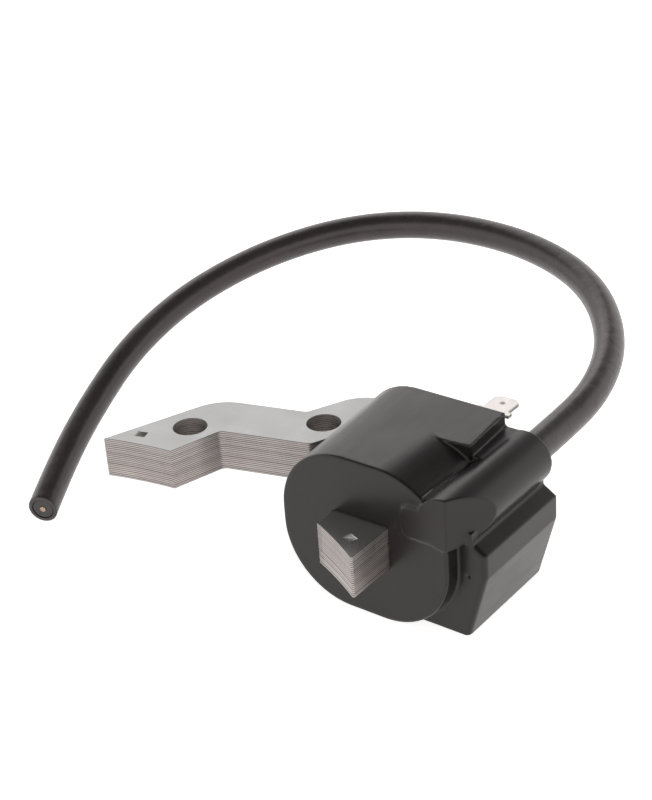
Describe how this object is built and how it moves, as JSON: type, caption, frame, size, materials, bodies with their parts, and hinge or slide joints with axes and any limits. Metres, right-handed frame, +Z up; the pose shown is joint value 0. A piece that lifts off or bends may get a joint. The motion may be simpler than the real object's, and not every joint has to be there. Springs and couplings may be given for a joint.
{
  "type": "ignition coil",
  "caption": "Flywheel ignition coil for a small engine: laminated steel core with two pole legs, black moulded coil body, push-on stop tab and a bare-ended high-tension lead.",
  "frame": {"origin": "midway between the two mounting holes, on the underside of the lamination stack", "axes": "+Z up through the stack, along the mounting bolts; Y along the wound leg, with the pole faces towards -Y; +X towards the coil body"},
  "size_m": [0.132, 0.1267, 0.0433],
  "materials": {
    "core_steel": "bare rolled electrical steel, satin, with sheared edges",
    "case": "moulded black thermoplastic, semi-gloss, faint flow and scuff marks",
    "potting": "cast epoxy resin, smooth with a raised edge where it wets the case",
    "bobbin": "glass-filled nylon, natural colour",
    "copper": "enamelled copper wire",
    "tinned_brass": "tin-plated brass, bright",
    "brass": "bare brass",
    "board": "glass-epoxy board with solder mask",
    "component": "moulded component body",
    "ceramic": "dipped ceramic",
    "lead_jacket": "extruded synthetic rubber, matt, slightly dusty",
    "lead_insulation": "dense inner insulation, matt cut face",
    "strand": "tinned copper strands"
  },
  "bodies": {
    "root": {"lamination_01": "core_steel", "lamination_02": "core_steel", "lamination_03": "core_steel", "lamination_04": "core_steel", "lamination_05": "core_steel", "lamination_06": "core_steel", "lamination_07": "core_steel", "lamination_08": "core_steel", "lamination_09": "core_steel", "lamination_10": "core_steel", "lamination_11": "core_steel", "lamination_12": "core_steel", "lamination_13": "core_steel", "lamination_14": "core_steel", "lamination_15": "core_steel", "lamination_16": "core_steel", "lamination_17": "core_steel", "lamination_18": "core_steel", "lamination_19": "core_steel", "lamination_20": "core_steel", "coil_case": "case", "potting": "potting", "primary_bobbin": "bobbin", "secondary_bobbin": "bobbin", "primary_winding": "copper", "secondary_winding": "copper", "stop_terminal": "tinned_brass", "ht_contact": "brass", "ground_strap": "brass", "circuit_board": "board", "power_transistor": "component", "control_chip": "component", "disc_capacitor": "ceramic", "clamp_diode": "component", "base_resistor": "ceramic", "sense_resistor": "ceramic", "primary_start_wire": "copper", "primary_end_wire": "copper", "stop_wire": "copper", "ht_link_wire": "copper", "lead_jacket": "lead_jacket", "lead_insulation": "lead_insulation", "lead_conductor": "strand"}
  },
  "joints": []
}
